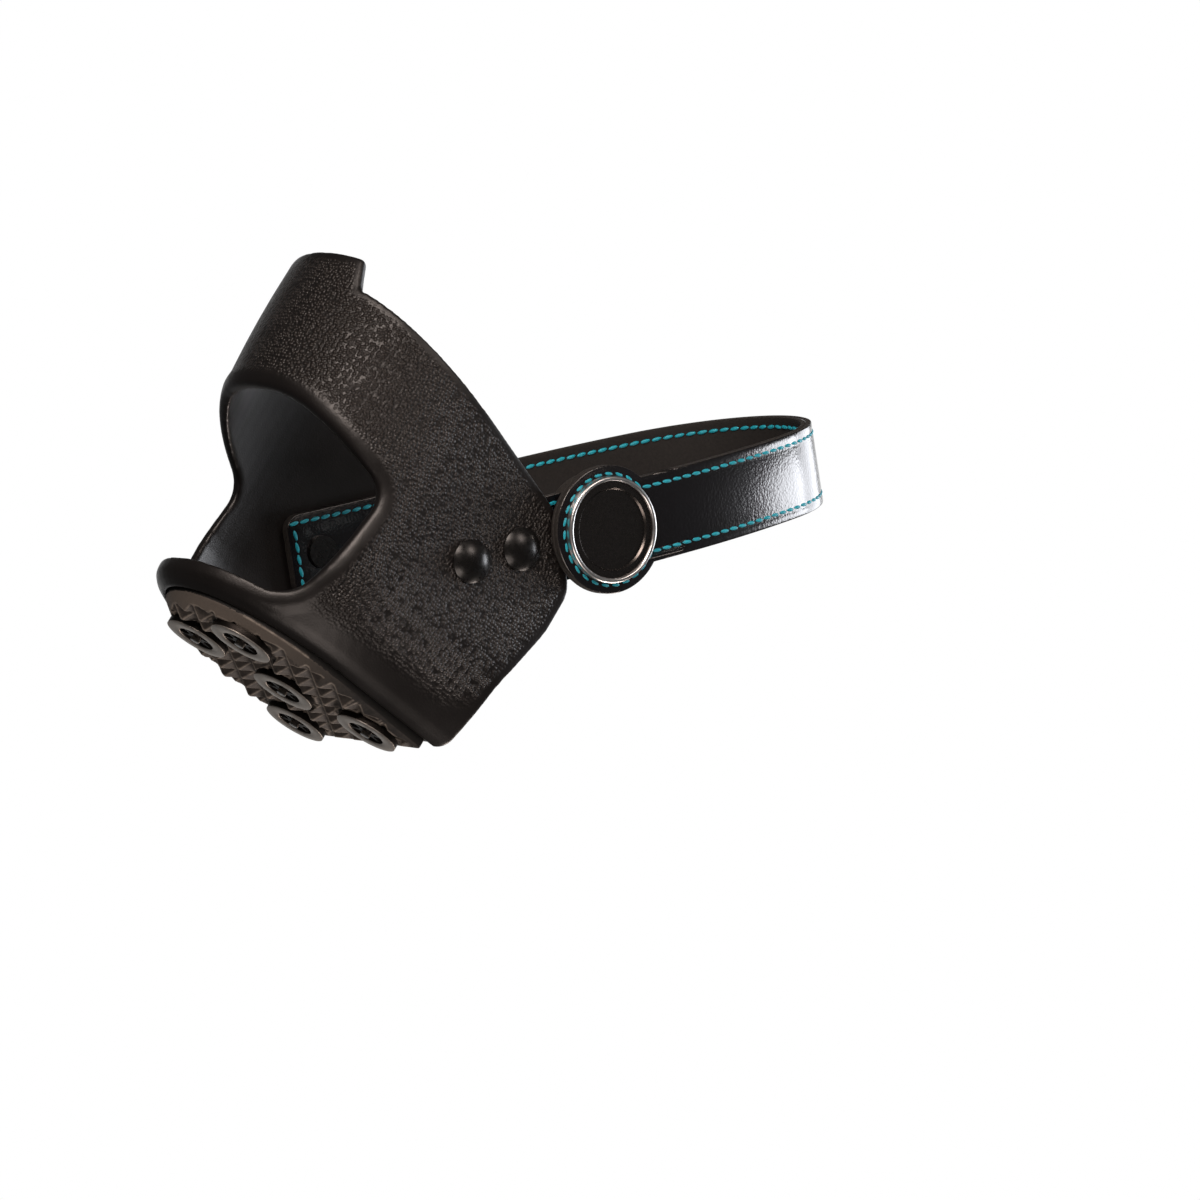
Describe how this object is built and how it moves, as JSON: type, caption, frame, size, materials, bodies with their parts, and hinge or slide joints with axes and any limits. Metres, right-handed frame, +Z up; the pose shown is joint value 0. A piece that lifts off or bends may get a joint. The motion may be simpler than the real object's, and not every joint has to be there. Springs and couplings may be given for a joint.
{
  "type": "heel ice spur",
  "caption": "Moulded heel shell on a rubber tread with steel ice studs, held on a boot by a stitched leather instep strap that swings on and pulls off its side snaps.",
  "frame": {"origin": "on the ground under the middle of the whole part, with the strap at rest", "axes": "+X towards the toe, +Y to the wearer's left, +Z up"},
  "size_m": [0.153, 0.0828, 0.1425],
  "materials": {
    "shell_elastomer": "moulded pebble grain, satin",
    "tread_rubber": "moulded, matt",
    "stud_steel": "turned and zinc plated",
    "pin_carbide": "ground hard metal",
    "tab_leather": "black, smooth",
    "rivet_black": "gloss black",
    "snap_nickel": "polished dark nickel",
    "spring_steel": "drawn wire",
    "strap_leather": "black, smooth, half gloss",
    "lining_leather": "black split, matt"
  },
  "bodies": {
    "shell": {"heel_shell": "shell_elastomer", "tread_plate": "tread_rubber", "stud_middle": "stud_steel", "stud_rear_left": "stud_steel", "stud_rear_right": "stud_steel", "stud_front_left": "stud_steel", "stud_front_right": "stud_steel", "stud_pin_middle": "pin_carbide", "stud_pin_rear_left": "pin_carbide", "stud_pin_rear_right": "pin_carbide", "stud_pin_front_left": "pin_carbide", "stud_pin_front_right": "pin_carbide", "tab_left": "tab_leather", "rivet_cap_left_upper": "rivet_black", "rivet_post_left_upper": "rivet_black", "rivet_cap_left_lower": "rivet_black", "rivet_post_left_lower": "rivet_black", "snap_stud_left": "snap_nickel", "snap_post_left": "snap_nickel", "tab_right": "tab_leather", "rivet_cap_right_upper": "rivet_black", "rivet_post_right_upper": "rivet_black", "rivet_cap_right_lower": "rivet_black", "rivet_post_right_lower": "rivet_black", "snap_stud_right": "snap_nickel", "snap_post_right": "snap_nickel"},
    "strap": {"strap_outer": "strap_leather", "strap_lining": "lining_leather"},
    "snap_end_left": {"strap_end_outer_left": "strap_leather", "strap_end_lining_left": "lining_leather", "snap_cap_left": "snap_nickel", "snap_socket_left": "snap_nickel", "snap_spring_left": "spring_steel"},
    "snap_end_right": {"strap_end_outer_right": "strap_leather", "strap_end_lining_right": "lining_leather", "snap_cap_right": "snap_nickel", "snap_socket_right": "snap_nickel", "snap_spring_right": "spring_steel"}
  },
  "joints": [
    {"name": "strap_swing", "type": "hinge", "parent": "shell", "child": "strap", "pos_m": [0.00949, 0, 0.0717], "axis": [0, 1, 0], "range_deg": [-75, 70]},
    {"name": "snap_left", "type": "slide", "parent": "strap", "child": "snap_end_left", "axis": [0, 1, 0], "range_m": [0, 0.006]},
    {"name": "snap_right", "type": "slide", "parent": "strap", "child": "snap_end_right", "axis": [0, -1, 0], "range_m": [0, 0.006]}
  ]
}
